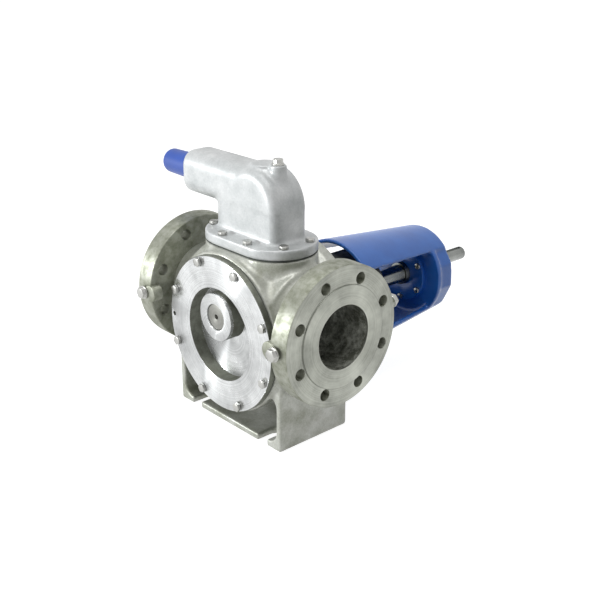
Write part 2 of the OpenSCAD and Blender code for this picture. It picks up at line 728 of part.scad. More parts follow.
// Bearing bracket: a tapered tube, open at the top in front and at both sides
function bracket_r(y) = (bracket_front_d + (bracket_rear_d - bracket_front_d)
    * (y - casing_rear) / (bracket_rear - casing_rear)) / 2;
module bracket_bolt_places() {
    for (s = [-1, 1], a = [20, 60, 100]) rotate([0, 90 + s * a, 0])
        translate([bracket_bolt_r, 0, 0]) children();
}
module bearing_bracket() color(blue) on_shaft() difference() {
    turned_y([[0, casing_rear], [bracket_r(casing_rear) - 1, casing_rear],
        [bracket_r(casing_rear + 1), casing_rear + 1], [bracket_r(bracket_rear - 2), bracket_rear - 2],
        [bracket_r(bracket_rear) - 2, bracket_rear], [0, bracket_rear]]);
    turned_y([[0, bracket_flange_back],
        [bracket_r(bracket_flange_back) - bracket_wall, bracket_flange_back],
        [bracket_r(ring_front) - bracket_wall - 1, ring_front], [0, ring_front]]);
    bar_y(rear_cover_d + 2, casing_rear - over, bracket_flange_back + over);
    bar_y(bearing_d + 2 * seat_fit, ring_front - over, bracket_rear + over);
    sector_y(drum_d / 2 + 1, bracket_front_d, casing_rear - over, top_open_end,
        90 - top_open_angle, 90 + top_open_angle);
    for (a = [0, 180]) {
        sector_y(drum_d / 2 - 8, bracket_front_d, window_start, ring_front,
            a - window_angle, a + window_angle);
        difference() {
            sector_y(bearing_d / 2 + 8, bracket_front_d, flat_start, bracket_rear + over,
                a - window_angle, a + window_angle);
            translate([0, flat_start - over, 0]) rotate([-90, 0, 0]) rotate([0, 0, 180 / flat_n - 4])
                cylinder(d = bracket_rear_d, h = flat_l + 3 * over, $fn = flat_n);
        }
    }
    bracket_bolt_places() bar_y(m10[0] + 2 * screw_gap, casing_rear - over, bracket_flange_back + over);
    around_y(6, bearing_screw_r, 30) {
        bar_y(m6[0], ring_front - over, ring_front + 14);
        bar_y(m6[0], bracket_rear - 14, bracket_rear + over);
    }
}
module bracket_bolts() color(steel) on_shaft() bracket_bolt_places()
    screw_y(m10, bracket_flange_back, bracket_flange_t + 18, -1);

// Double-row ball bearing
race_r = (bearing_d + bearing_bore) / 4;
groove = ball_d / 2 + run_fit;
row_gap = ball_d / 2 + 3;
bearing_mid = (bearing_front + bearing_back) / 2;
module bearing_grooves() {
    for (s = [-1, 1]) translate([0, bearing_mid + s * row_gap, 0]) rotate([-90, 0, 0])
        rotate_extrude() translate([race_r, 0]) circle(r = groove, $fn = 48);
}
module bearing_outer_ring() color(steel) on_shaft() difference() {
    tube_y(bearing_d, 2 * (race_r + 3.2), bearing_front, bearing_back);
    bearing_grooves();
}
module bearing_inner_ring() color(steel) on_shaft() difference() {
    tube_y(2 * (race_r - 3.2), bearing_bore + 2 * seat_fit, bearing_front, bearing_back);
    bearing_grooves();
}
module ball_places() {
    for (s = [-1, 1]) translate([0, bearing_mid + s * row_gap, 0])
        around_y(ball_n, race_r, (s + 1) * 90 / ball_n) children();
}
module bearing_balls() color(bright) on_shaft() ball_places() sphere(d = ball_d, $fn = 32);
module bearing_cage() color(bronze) on_shaft() difference() {
    tube_y(2 * (race_r + 1.4), 2 * (race_r - 1.4), bearing_mid - row_gap - 3, bearing_mid + row_gap + 3);
    ball_places() bar_x(ball_d + axial_gap, -groove, groove);
}
bearing_screw_r = bearing_cover_d / 2 - 4.8;
module bearing_cover_front() color(blue) on_shaft() difference() {
    union() {
        bar_y(bearing_cover_d, ring_front - cover_lid, ring_front);
        bar_y(bearing_d - 2 * seat_fit, ring_front - over, bearing_front);
    }
    bar_y(shaft_d + 2 * axial_gap, ring_front - cover_lid - over, bearing_front + over);
    bar_y(collar_d + 4, collar_front - 2, bearing_front + over);
    bar_y(bearing_d - 14, ring_front + 1, bearing_front + over);
    around_y(6, bearing_screw_r, 30)
        bar_y(m6[0] + 2 * screw_gap, ring_front - cover_lid - over, ring_front + over);
}
module bearing_cover_rear() color(blue) on_shaft() difference() {
    union() {
        bar_y(bearing_cover_d, bracket_rear, bracket_rear + cover_lid);
        bar_y(bearing_d - 2 * seat_fit, bearing_back + 0.1, bracket_rear + over);
        bar_y(66, bracket_rear, bearing_cover_end);
    }
    bar_y(drive_shoulder_d + 2 * axial_gap, bearing_back, bearing_cover_end + over);
    bar_y(56, bearing_back, locknut_back + 2);
    around_y(6, bearing_screw_r, 30)
        bar_y(m6[0] + 2 * screw_gap, bracket_rear - over, bracket_rear + cover_lid + over);
}
module bearing_cover_screws() color(steel) on_shaft() around_y(6, bearing_screw_r, 30) {
    screw_y(m6, ring_front - cover_lid, cover_lid + 12, 1);
    screw_y(m6, bracket_rear + cover_lid, cover_lid + 12, -1);
}
module shaft_locknut() color(steel) on_shaft() difference() {
    tube_y(52, bearing_bore + 2 * seat_fit, bearing_back + 1 - 0.9, locknut_back);
    around_y(4, 26) translate([-3, bearing_back, -2.5]) cube([6, locknut_l + 2, 5]);
}

// Relief valve body: flange, column, elbow and the arm that holds the spring
valve_end_r = (valve_flange_l - valve_flange_w) / 2;
module valve_screw_places() {
    r = valve_flange_w / 2 - valve_screw_inset;
    for (x = [-1, 1], y = [-1, 1]) {
        translate([x * 30, y * r, 0]) children();
        translate([x * (valve_end_r + r * cos(31)), y * r * sin(31), 0]) children();
    }
}
module column_outline(edge) {
    half = arm_w / 2;
    translate([half - column_left, 0]) circle(r = half);
    translate([half - column_left, -half]) square([elbow_x - half + column_left, arm_w]);
    if (edge > 0) {
        translate([elbow_x - over, -half]) square([elbow_r - edge + over, arm_w]);
        translate([elbow_x - over, edge - half]) square([elbow_r + over, arm_w - 2 * edge]);
        for (y = [-1, 1]) translate([column_right - edge, y * (half - edge)]) circle(r = edge);
    }
}
module elbow() {
    half = arm_w / 2 + elbow_step;
    r = elbow_r + elbow_step;
    intersection() {
        translate([elbow_x, 0, elbow_z]) turned_y(concat([[0, -half]],
            [for (k = [0 : 8]) let (a = k * 90 / 8)
                [r - column_edge * (1 - sin(a)), column_edge * (1 - cos(a)) - half]],
            [for (k = [0 : 8]) let (a = k * 90 / 8)
                [r - column_edge * (1 - cos(a)), half - column_edge * (1 - sin(a))]],
            [[0, half]]));
        translate([elbow_x - elbow_r - 9, -half - 9, elbow_z]) cube([2 * elbow_r + 18, 2 * half + 18, elbow_r + 9]);
    }
}
module valve_outside() {
    translate([0, 0, valve_base]) linear_extrude(valve_flange_t) stadium(valve_flange_l, valve_flange_w);
    translate([0, 0, valve_flange_top - over]) {
        linear_extrude(elbow_z - valve_flange_top + over) column_outline(column_edge);
        linear_extrude(arm_z - valve_flange_top + over) column_outline(0);
    }
    elbow();
    on_arm() rotate([0, 90, 0]) {
        translate([0, 0, 2 - arm_end]) linear_extrude(arm_end - 2 + elbow_x)
            rounded_square(arm_w, arm_corner);
        translate([0, 0, -arm_end]) linear_extrude(2 + over) rounded_square(arm_w - 4, arm_corner - 2);
    }
    translate([top_boss_x, 0, elbow_z]) cylinder(d = top_boss_d, h = top_boss_z - elbow_z);
    translate([elbow_x, 0, elbow_z]) cylinder(d = top_pad_d, h = top_pad_z - elbow_z);
}
module valve_body() color(silver) difference() {
    valve_outside();
    for (x = [-1, 1]) translate([x * passage_x, 0, valve_base - over])
        cylinder(d = passage_d - 6, h = arm_z - valve_base);
    on_arm() {
        bar_x(spring_bore_d, -arm_end - over, partition_left);
        bar_x(seat_bore_d, partition_left - over, partition_right + over);
        bar_x(spring_bore_d, partition_right, passage_x);
    }
    translate([top_boss_x, 0, arm_z]) cylinder(d = 13, h = top_boss_z - arm_z + over);
    valve_screw_places() {
        translate([0, 0, valve_base - over])
            cylinder(d = m8[0] + 2 * screw_gap, h = valve_flange_t + 2 * over);
        translate([0, 0, valve_flange_top]) cylinder(d = m8[1] * corner + 4, h = 14);
    }
}
module valve_gasket() color(paper) translate([0, 0, valve_seat_z]) linear_extrude(gasket_t) difference() {
    stadium(valve_flange_l - 1, valve_flange_w - 1);
    for (x = [-1, 1]) translate([x * passage_x, 0]) circle(d = passage_d + 1);
    valve_screw_places() circle(d = m8[0] + 2 * screw_gap);
}
module valve_screws() color(steel) valve_screw_places()
    screw_z(m8, valve_flange_top, valve_flange_t + gasket_t + 18);

// Valve seat, the cone that lifts off it, its spring and the guide behind the spring
module valve_seat() color(bright) on_arm()
    tube_x(spring_bore_d - 2 * seat_fit, seat_bore_d, seat_face, partition_left);
module valve_cone() color(steel) on_arm() turned_x([[0, seat_face + 8],
    [seat_bore_d / 2 - 3, seat_face + 8],
    [seat_bore_d / 2 - axial_gap, seat_face + 4], [seat_bore_d / 2 - axial_gap, cone_face],
    [spring_bore_d / 2 - axial_gap, cone_face], [spring_bore_d / 2 - axial_gap, spring_front],
    [spring_mean_d / 2 - spring_wire / 2 - 1, spring_front],
    [spring_mean_d / 2 - spring_wire / 2 - 1, spring_front - 10], [0, spring_front - 10]]);
spring_sides = 8;
spring_rings = 16 * spring_turns;
spring_lead = (spring_l - spring_wire - 2 * axial_gap) / spring_turns;
function spring_point(k, j) =
    let (a = 360 * k / 16, b = 360 * j / spring_sides, r = (spring_mean_d + spring_wire * cos(b)) / 2)
    [spring_back + axial_gap + spring_wire / 2 + spring_lead * k / 16 + spring_wire / 2 * sin(b),
        r * cos(a), r * sin(a)];
module valve_spring() color(steel) on_arm() polyhedron(
    points = [for (k = [0 : spring_rings], j = [0 : spring_sides - 1]) spring_point(k, j)],
    faces = concat([[for (j = [spring_sides - 1 : -1 : 0]) j]],
        [for (k = [0 : spring_rings - 1], j = [0 : spring_sides - 1])
            let (a = k * spring_sides + j, b = k * spring_sides + (j + 1) % spring_sides)
            [a, b, b + spring_sides, a + spring_sides]],
        [[for (j = [0 : spring_sides - 1]) spring_rings * spring_sides + j]]));
module spring_guide() color(steel) on_arm() turned_x([[0, guide_back],
    [spring_bore_d / 2 - axial_gap, guide_back],
    [spring_bore_d / 2 - axial_gap, spring_back], [spring_mean_d / 2 - spring_wire / 2 - 1, spring_back],
    [spring_mean_d / 2 - spring_wire / 2 - 1, spring_back + 8], [0, spring_back + 8]]);

// Bonnet in the arm's end with the adjusting screw, its locknut and the cap
module valve_bonnet() color(steel) on_arm() difference() {
    union() {
        bar_x(spring_bore_d - 2 * seat_fit, -arm_end, bonnet_front);
        bar_x(cap_spigot_d, cap_spigot_end, -arm_end + over);
    }
    bar_x(adjuster_d + 2 * run_fit, cap_spigot_end - over, bonnet_front + over);
}
module adjusting_screw() color(steel) on_arm() difference() {
    bar_x(adjuster_d, adjuster_end, guide_back - axial_gap);
    translate([adjuster_end - over, 0, 0]) rotate([0, 90, 0])
        cylinder(d = 8 * corner, h = 9, $fn = hex);
}
module adjusting_locknut() color(steel) on_arm() difference() {
    translate([cap_spigot_end - 8, 0, 0]) rotate([0, 90, 0])
        cylinder(d = (adjuster_d + 8) * corner, h = 8, $fn = hex);
    bar_x(adjuster_d + 2 * run_fit, cap_spigot_end - 9, cap_spigot_end + over);
}
module valve_cap() color(blue) on_arm() difference() {
    end_r = 9;
    turned_x(concat([[0, cap_end]],
        [for (k = [0 : 8]) let (a = k * 90 / 8)
            [cap_d / 2 - 1.5 - end_r * (1 - sin(a)), cap_end + end_r * (1 - cos(a))]],
        [[cap_d / 2, cap_start - 2], [cap_d / 2 - 0.6, cap_start], [0, cap_start]]));
    bar_x(cap_spigot_d + 2 * run_fit, cap_end + 6, cap_start + over);
}
module valve_plug() color(steel) translate([top_boss_x, 0, top_boss_z]) {
    cylinder(d = top_plug_af + 5, h = 2.5);
    translate([0, 0, 2.5 - eps]) cylinder(d = top_plug_af * corner, h = 6.5, $fn = hex);
    translate([0, 0, -14]) cylinder(d = 13 - 2 * seat_fit, h = 14 + eps);
}
module gauge_plugs() color(steel) both_gauges() gauge_plug();

casing();
front_cover();
cover_gasket();
cover_bolts();
idler_pin();
idler_bush();
idler_gear();
rotor();
rotor_key();
shaft();
rear_cover();
rear_cover_gasket();
rear_cover_screws();
shaft_bush();
packing_rings();
gland();
gland_studs();
gland_nuts();
bearing_bracket();
bracket_bolts();
bearing_outer_ring();
bearing_inner_ring();
bearing_balls();
bearing_cage();
bearing_cover_front();
bearing_cover_rear();
bearing_cover_screws();
shaft_locknut();
valve_body();
valve_gasket();
valve_screws();
valve_seat();
valve_cone();
valve_spring();
spring_guide();
valve_bonnet();
adjusting_screw();
adjusting_locknut();
valve_cap();
valve_plug();
gauge_plugs();
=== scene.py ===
# %% [markdown]
# # An internal gear pump, dressed for a photograph
# The pump is a stainless casting with two pipe flanges, a turned front cover,
# a relief valve on top and a blue bracket that carries the shaft behind.
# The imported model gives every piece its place. This lesson gives each one its
# real surface, and rebuilds the castings and screws whose edges are too sharp.

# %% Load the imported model
import json
import math
import bmesh
import bpy
from mathutils import Matrix, Vector


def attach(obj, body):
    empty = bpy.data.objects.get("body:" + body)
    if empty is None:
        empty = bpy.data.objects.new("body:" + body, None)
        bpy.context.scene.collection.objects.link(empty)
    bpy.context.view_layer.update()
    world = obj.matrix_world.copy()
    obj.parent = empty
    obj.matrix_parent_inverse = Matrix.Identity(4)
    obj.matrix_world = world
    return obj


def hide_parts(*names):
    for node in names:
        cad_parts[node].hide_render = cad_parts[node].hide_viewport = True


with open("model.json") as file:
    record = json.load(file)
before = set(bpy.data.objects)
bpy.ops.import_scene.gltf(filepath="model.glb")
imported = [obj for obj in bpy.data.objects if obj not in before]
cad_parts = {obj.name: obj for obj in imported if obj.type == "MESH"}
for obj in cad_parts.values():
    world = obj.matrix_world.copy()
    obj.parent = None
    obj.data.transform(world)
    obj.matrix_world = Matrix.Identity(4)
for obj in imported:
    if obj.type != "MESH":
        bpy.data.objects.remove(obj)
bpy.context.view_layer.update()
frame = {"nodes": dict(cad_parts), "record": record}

# %% [markdown]
# The main places on the pump, in metres. Turning marks, flanges and bores are
# built around two lines: the shaft's axis, which runs along Y, and the axis
# through the two ports, which runs along X.

# %% The main places
MM = 0.001
SHAFT_Z = 160 * MM
PORT_Z = 190 * MM
print("port axis above the shaft:", round((PORT_Z - SHAFT_Z) / MM), "mm")

# %% [markdown]
# ## The camera
# The photograph was taken from the right of the front cover, a little above.
# The angle, the distance and the lens come from fitting circles to the flange,
# the cover and their holes. Turning the camera with a matrix of three
# directions keeps it exact, where a Track To constraint would need a target.

# %% Camera
AZIMUTH = math.radians(48.01)
ELEVATION = math.radians(21.78)
DISTANCE = 1.59105
FOCAL_PIXELS = 998.94
FRAME_PIXELS = 600
AIM = Vector((0, 0, 0.1602))
AIM_TO_RIGHT = 0.06018
AIM_UP = 0.03116

right = Vector((math.cos(AZIMUTH), math.sin(AZIMUTH), 0))
back = Vector((math.sin(AZIMUTH) * math.cos(ELEVATION),
               -math.cos(AZIMUTH) * math.cos(ELEVATION), math.sin(ELEVATION)))
up = back.cross(right)
lens = bpy.data.cameras.new("camera")
lens.sensor_fit = "HORIZONTAL"
lens.sensor_width = 36
lens.lens = FOCAL_PIXELS / FRAME_PIXELS * lens.sensor_width
lens.clip_end = 20
camera = bpy.data.objects.new("camera", lens)
place = AIM + AIM_TO_RIGHT * right + AIM_UP * up + DISTANCE * back
camera.matrix_world = Matrix((
    (right.x, up.x, back.x, place.x), (right.y, up.y, back.y, place.y),
    (right.z, up.z, back.z, place.z), (0, 0, 0, 1)))
bpy.context.scene.collection.objects.link(camera)
bpy.context.scene.camera = camera
print("camera at", [round(v, 3) for v in place], "lens", round(lens.lens, 2))

# %% [markdown]
# ## Helpers for node materials
# Every finish is a Principled shader with a few textures in front of it. The
# textures read Object coordinates, which are metres here, so a scale of 1000
# makes a pattern about a millimetre wide.

# %% Material helpers
def new_material(name, color, metallic, roughness):
    """A material with its Principled shader's plain values set."""
    material = bpy.data.materials.new(name)
    material.use_nodes = True
    shader = material.node_tree.nodes["Principled BSDF"]
    shader.inputs["Base Color"].default_value = (*color, 1)
    shader.inputs["Metallic"].default_value = metallic
    shader.inputs["Roughness"].default_value = roughness
    material.diffuse_color = (*color, 1)
    return material, shader


def add(material, kind, **values):
    """A node of a kind, with sockets set by name."""
    node = material.node_tree.nodes.new(kind)
    for key, value in values.items():
        node.inputs[key].default_value = value
    return node


def link(material, a, b):
    material.node_tree.links.new(a, b)


def math_node(material, operation, *values):
    """A Math node. Each value is a number, or a socket that is linked to it."""
    node = add(material, "ShaderNodeMath")
    node.operation = operation
    for socket, value in zip(node.inputs, values):
        if isinstance(value, bpy.types.NodeSocket):
            link(material, value, socket)
        else:
            socket.default_value = value
    return node.outputs[0]


# %% [markdown]
# A texture has to know where it is. Object coordinates can be moved and
# stretched first. Flattened along an axis, their length is the distance from
# that axis, which turning marks and bores need.

# %% Places and noise
def coordinates(material, stretch=(1, 1, 1), middle=(0, 0, 0)):
    """Object coordinates, moved so that middle is the origin, then stretched."""
    source = add(material, "ShaderNodeTexCoord")
    moved = [-m * s for m, s in zip(middle, stretch)]
    mapping = add(material, "ShaderNodeMapping", Location=moved, Scale=stretch)
    link(material, source.outputs["Object"], mapping.inputs["Vector"])
    return mapping.outputs["Vector"]


def distance(material, middle, axis):
    """The distance from the line through a point along an axis."""
    flat = [0 if letter == axis else 1 for letter in "XYZ"]
    length = add(material, "ShaderNodeVectorMath")
    length.operation = "LENGTH"
    link(material, coordinates(material, stretch=flat, middle=middle), length.inputs[0])
    return length.outputs["Value"]


def noise(material, where, scale, detail, roughness=0.55):
    node = add(material, "ShaderNodeTexNoise", Scale=scale, Detail=detail, Roughness=roughness)
    link(material, where, node.inputs["Vector"])
    return node.outputs["Fac"]


# %% [markdown]
# A noise value lies mostly between 0.3 and 0.7. Color Ramp and Map Range
# stretch that part of it onto two colours or two numbers, and a Bump node
# turns it into relief, with its height in metres.

# %% Mapping, mixing and bump
def color_ramp(material, value, low, high, start, end):
    node = add(material, "ShaderNodeValToRGB")
    for element, color, position in zip(node.color_ramp.elements, (low, high), (start, end)):
        element.position = position
        element.color = (*color, 1)
    link(material, value, node.inputs["Fac"])
    return node.outputs["Color"]


def number_ramp(material, value, low, high, start, end):
    node = add(material, "ShaderNodeMapRange",
               **{"From Min": start, "From Max": end, "To Min": low, "To Max": high})
    link(material, value, node.inputs["Value"])
    return node.outputs["Result"]


def blend(material, where, a, b):
    """Mixes two colours, or two values, by a value between 0 and 1."""
    node = material.node_tree.nodes.new("ShaderNodeMix")
    node.data_type = "RGBA" if a.type == "RGBA" else "FLOAT"
    sockets = [s for s in node.inputs if s.enabled]
    for source, socket in zip((where, a, b), sockets):
        link(material, source, socket)
    return next(s for s in node.outputs if s.enabled)


def bump(material, shader, height, distance, strength, after=None):
    """Adds relief to a shader. It builds on the relief given as after."""
    node = add(material, "ShaderNodeBump", Distance=distance, Strength=strength)
    link(material, height, node.inputs["Height"])
    if after is not None:
        link(material, after, node.inputs["Normal"])
    link(material, node.outputs["Normal"], shader.inputs["Normal"])
    return node.outputs["Normal"]


# %% [markdown]
# ## Finishes
# Blasted stainless castings are pale and slightly warm, with soft blotches and
# a fine grain. The bore of the ports is rougher, and its dark tone with light specks is painted
# shade.

# %% Cast stainless steel
BORE_LIMIT = 56 * MM
# The dark tone is painted shade for the bore, and the light one makes its specks.
BORE_SHADE_TONES = (0.12, 0.125, 0.10), (0.60, 0.61, 0.55)


def with_painted_bore_shade(material, tone):
    """Paints shade onto what lies close to the port axis, the inside of the bore: a dark tone with
    light specks.
    """
    near = math_node(material, "LESS_THAN", distance(material, (0, 0, PORT_Z), "X"), BORE_LIMIT)
    scale = noise(material, coordinates(material), scale=55, detail=9, roughness=0.78)
    return blend(material, near, tone,
                 color_ramp(material, scale, *BORE_SHADE_TONES, start=0.44, end=0.66))


def cast_metal(name, dark, light, metallic, roughness, grain):
    material, shader = new_material(name, light, metallic, roughness)
    where = coordinates(material)
    blotches = noise(material, where, scale=26, detail=6, roughness=0.62)
    speckle = noise(material, where, scale=330, detail=4, roughness=0.7)
    mixed = math_node(material, "MULTIPLY_ADD", speckle, 0.45, blotches)
    tone = color_ramp(material, mixed, dark, light, start=0.5, end=0.95)
    gloss = number_ramp(material, blotches, roughness * 1.15, roughness * 0.8, start=0.35, end=0.65)
    link(material, with_painted_bore_shade(material, tone), shader.inputs["Base Color"])
    link(material, gloss, shader.inputs["Roughness"])
    lumps = bump(material, shader, blotches, distance=0.0011, strength=0.5)
    bump(material, shader, speckle, distance=grain, strength=0.9, after=lumps)
    return material


cast_steel = cast_metal("cast_steel", (0.27, 0.28, 0.22), (0.60, 0.61, 0.57),
                        metallic=0.4, roughness=0.42, grain=0.0003)
cast_valve = cast_metal("cast_valve", (0.42, 0.44, 0.44), (0.66, 0.67, 0.67),
                        metallic=0.3, roughness=0.45, grain=0.00025)
print("each cast finish has", len(cast_steel.node_tree.nodes), "nodes")

# %% [markdown]
# A turned face keeps the fine circles of the tool. They spread a highlight
# into two bright fans that point at the axis. An anisotropic shader does that
# with a tangent that runs around the axis, turned by a quarter so that the
# light spreads across the grooves.

# %% Rings and bands
def rings(material, middle, axis, scale):
    """Noise that changes only with the distance from an axis."""
    lines = add(material, "ShaderNodeTexNoise", Scale=scale, Detail=3, Roughness=0.7)
    lines.noise_dimensions = "1D"
    link(material, distance(material, middle, axis), lines.inputs["W"])
    return lines.outputs["Fac"]


def band(material, axis, low, high):
    """1 where the size of one coordinate lies between two places, else 0."""
    split = add(material, "ShaderNodeSeparateXYZ")
    link(material, coordinates(material), split.inputs[0])
    size = math_node(material, "ABSOLUTE", split.outputs[axis])
    return math_node(material, "COMPARE", size, (low + high) / 2, (high - low) / 2)


# %% [markdown]
# Walls that the tool never touched, such as the flange's rim, stay as cast. The
# sides of the cover's recess, the side of its boss and its outer rim are rough as well,
# and their dark tones are painted shade. Such walls are told apart by how far they lie
# from the middle of the pump, so that one material can hold both surfaces.

# %% Turned metal
ACROSS_GROOVES = 0.25
FLANGE_CAST_TONES = (0.21, 0.22, 0.17), (0.36, 0.37, 0.32)
# The cover's wall tones are painted shade.
COVER_SHADE_TONES = (0.13, 0.135, 0.11), (0.19, 0.20, 0.17)


def turned_metal(name, color, roughness, middle, axis, anisotropy, groove=0.00002,
                 cast_and_shade_band=None, cast_and_shade_tones=FLANGE_CAST_TONES):
    """Turned steel about an axis. In a band given as (axis, low, high) it is left rough as cast,
    with its own tones, which on the cover are painted shade.
    """
    material, shader = new_material(name, color, 1.0, roughness)
    shader.inputs["Anisotropic"].default_value = anisotropy
    shader.inputs["Anisotropic Rotation"].default_value = ACROSS_GROOVES
    smear = noise(material, coordinates(material, middle=middle), scale=17, detail=5,
                  roughness=0.62)
    lines = rings(material, middle, axis, scale=420)
    mixed = math_node(material, "MULTIPLY_ADD", lines, 0.4, smear)
    tone = color_ramp(material, mixed, [c * 0.68 for c in color],
                      [min(1, c * 1.25) for c in color], start=0.5, end=0.9)
    gloss = number_ramp(material, smear, roughness * 1.3, roughness * 0.75, start=0.35, end=0.65)
    grain = None
    if cast_and_shade_band:
        # The band gets its own tones here, and on the cover these are painted shade.
        cast_and_shade_mask = band(material, *cast_and_shade_band)
        speckle = noise(material, coordinates(material), scale=70, detail=6, roughness=0.65)
        cast_and_shade_wall_tone = color_ramp(material, speckle, *cast_and_shade_tones, start=0.35, end=0.65)
        rough_gloss = number_ramp(material, speckle, 0.62, 0.48, start=0.3, end=0.7)
        tone = blend(material, cast_and_shade_mask, tone, with_painted_bore_shade(material, cast_and_shade_wall_tone))
        gloss = blend(material, cast_and_shade_mask, gloss, rough_gloss)
        pits = math_node(material, "MULTIPLY", speckle, cast_and_shade_mask)
        grain = bump(material, shader, pits, distance=0.0007, strength=0.7)
    bump(material, shader, lines, distance=groove, strength=0.5, after=grain)
    link(material, tone, shader.inputs["Base Color"])
    link(material, gloss, shader.inputs["Roughness"])
    tangent = material.node_tree.nodes.new("ShaderNodeTangent")
    tangent.direction_type = "RADIAL"
    tangent.axis = axis
    link(material, tangent.outputs["Tangent"], shader.inputs["Tangent"])
    return material


# %% [markdown]
# The covers and the shaft were turned about the shaft's axis, and the flanges
# about the port axis. The idler's pin sits at the height of the ports. Its end
# is darker, with deeper rings.

# %% Turned steel
ON_SHAFT, ON_PORTS = (0, 0, SHAFT_Z), (0, 0, PORT_Z)
turned_steel = turned_metal("turned_steel", (0.52, 0.53, 0.53), 0.27, ON_SHAFT, "Y", 0.8)
# The cover's recess walls, the side of its boss and its outer rim get painted shade.
cover_steel = turned_metal("cover_steel", (0.53, 0.54, 0.54), 0.27, ON_SHAFT, "Y", 0.85,
                           cast_and_shade_band=("Y", 65.4 * MM, 87.5 * MM), cast_and_shade_tones=COVER_SHADE_TONES)
pin_steel = turned_metal("pin_steel", (0.26, 0.26, 0.24), 0.42, ON_PORTS, "Y", 0.3,
                         groove=0.0002)
flange_steel = turned_metal("flange_steel", (0.34, 0.35, 0.31), 0.38, ON_PORTS, "X", 0.5,
                            cast_and_shade_band=("X", 0, 182.6 * MM))
shaft_steel = turned_metal("shaft_steel", (0.22, 0.23, 0.22), 0.25, ON_SHAFT, "Y", 0.4)
for made in (turned_steel, cover_steel, pin_steel, flange_steel, shaft_steel):
    print(made.name, "has", len(made.node_tree.nodes), "nodes")

# %% [markdown]
# Screws, gears, bushes, gaskets and packing share one recipe: a soft cloud
# changes colour and gloss a little, and a fine grain breaks up the highlight.

# %% Plain metals and soft pieces
def plain_metal(name, color, roughness, metallic=1.0, grain=0.00003, cloud_scale=60):
    material, shader = new_material(name, color, metallic, roughness)
    where = coordinates(material)
    cloud = noise(material, where, scale=cloud_scale, detail=4, roughness=0.6)
    tone = color_ramp(material, cloud, [c * 0.8 for c in color],
                      [min(1, c * 1.1) for c in color], start=0.3, end=0.7)
    gloss = number_ramp(material, cloud, roughness * 1.25, roughness * 0.8, start=0.3, end=0.7)
    link(material, tone, shader.inputs["Base Color"])
    link(material, gloss, shader.inputs["Roughness"])
    bump(material, shader, noise(material, where, scale=900, detail=2), distance=grain,
         strength=0.6)
    return material


screw_steel = plain_metal("screw_steel", (0.42, 0.42, 0.40), 0.3)
gland_steel = plain_metal("gland_steel", (0.34, 0.34, 0.31), 0.5, metallic=0.6)
gear_steel = plain_metal("gear_steel", (0.48, 0.49, 0.50), 0.3)
bearing_steel = plain_metal("bearing_steel", (0.66, 0.67, 0.68), 0.14, grain=0.000005)
spring_steel = plain_metal("spring_steel", (0.36, 0.37, 0.38), 0.38)
bush_bronze = plain_metal("bush_bronze", (0.52, 0.34, 0.15), 0.32)
grey_iron = plain_metal("grey_iron", (0.06, 0.065, 0.065), 0.6, metallic=0.3, grain=0.00015,
                        cloud_scale=40)
gasket_sheet = plain_metal("gasket_sheet", (0.10, 0.11, 0.10), 0.8, metallic=0.0,
                           grain=0.00008, cloud_scale=200)
packing_yarn = plain_metal("packing_yarn", (0.05, 0.05, 0.045), 0.85, metallic=0.0,
                           grain=0.0003, cloud_scale=300)
print("each of these finishes has", len(screw_steel.node_tree.nodes), "nodes")

# %% [markdown]
# Sprayed paint flows out to a glossy coat, but it follows the casting under it
# and keeps a faint orange-peel skin. The cap on the valve is painted too, in a
# darker and duller blue.

# %% Blue paint
def paint(name, dark, light, roughness, coat):
    material, shader = new_material(name, light, 0.0, roughness)
    shader.inputs["Coat Weight"].default_value = coat
    shader.inputs["Coat Roughness"].default_value = 0.22
    where = coordinates(material)
    cloud = noise(material, where, scale=18, detail=4, roughness=0.5)
    link(material, color_ramp(material, cloud, dark, light, start=0.3, end=0.7),
         shader.inputs["Base Color"])
    skin = noise(material, where, scale=260, detail=2, roughness=0.5)
    lumps = bump(material, shader, cloud, distance=0.0006, strength=0.4)
    bump(material, shader, skin, distance=0.00008, strength=0.7, after=lumps)
    return material


blue_paint = paint("blue_paint", (0.008, 0.105, 0.45), (0.014, 0.15, 0.58), 0.4, coat=0.5)
blue_cap = paint("blue_cap", (0.012, 0.055, 0.30), (0.018, 0.075, 0.38), 0.45, coat=0.1)
print("each paint has", len(blue_paint.node_tree.nodes), "nodes")

# %% [markdown]
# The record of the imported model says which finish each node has, by the name
# of its material slot, and which body it moves with.

# %% Each CAD node gets the finish of its slot
FINISHES = {"cast_steel": cast_steel, "cast_valve": cast_valve, "turned_steel": turned_steel,
            "screw_steel": screw_steel, "gear_steel": gear_steel, "shaft_steel": shaft_steel,
            "grey_iron": grey_iron, "blue_paint": blue_paint, "blue_cap": blue_cap,
            "bush_bronze": bush_bronze, "packing_yarn": packing_yarn,
            "gasket_sheet": gasket_sheet, "bearing_steel": bearing_steel,
            "spring_steel": spring_steel}
SLOT_OF = {part["node"]: part["material_slot"] for part in frame["record"]["subparts"]}
BODY_OF = {node: body for body, group in frame["record"]["behaviour"]["bodies"].items()
           for node in group}
for name, slot in SLOT_OF.items():
    for material_slot in frame["nodes"][name].material_slots:
        material_slot.material = FINISHES[slot]
print("finishes given to", len(SLOT_OF), "nodes")

# %% [markdown]
# ## From a CAD node to a finished piece
# A CAD mesh comes as loose triangles, so points that lie closer than WELD are
# made one. A new piece keeps the body and the slot of the node that it stands
# for, and hides that node. Its faces are shaded smooth, except across edges
# sharper than a set angle.

# %% Piece helpers
WELD = 0.002 * MM


def merged(node):
    """A bmesh of a CAD node, with its loose triangles joined."""
    shape = bmesh.new()
    shape.from_mesh(frame["nodes"][node].data)
    bmesh.ops.remove_doubles(shape, verts=shape.verts, dist=WELD)
    return shape


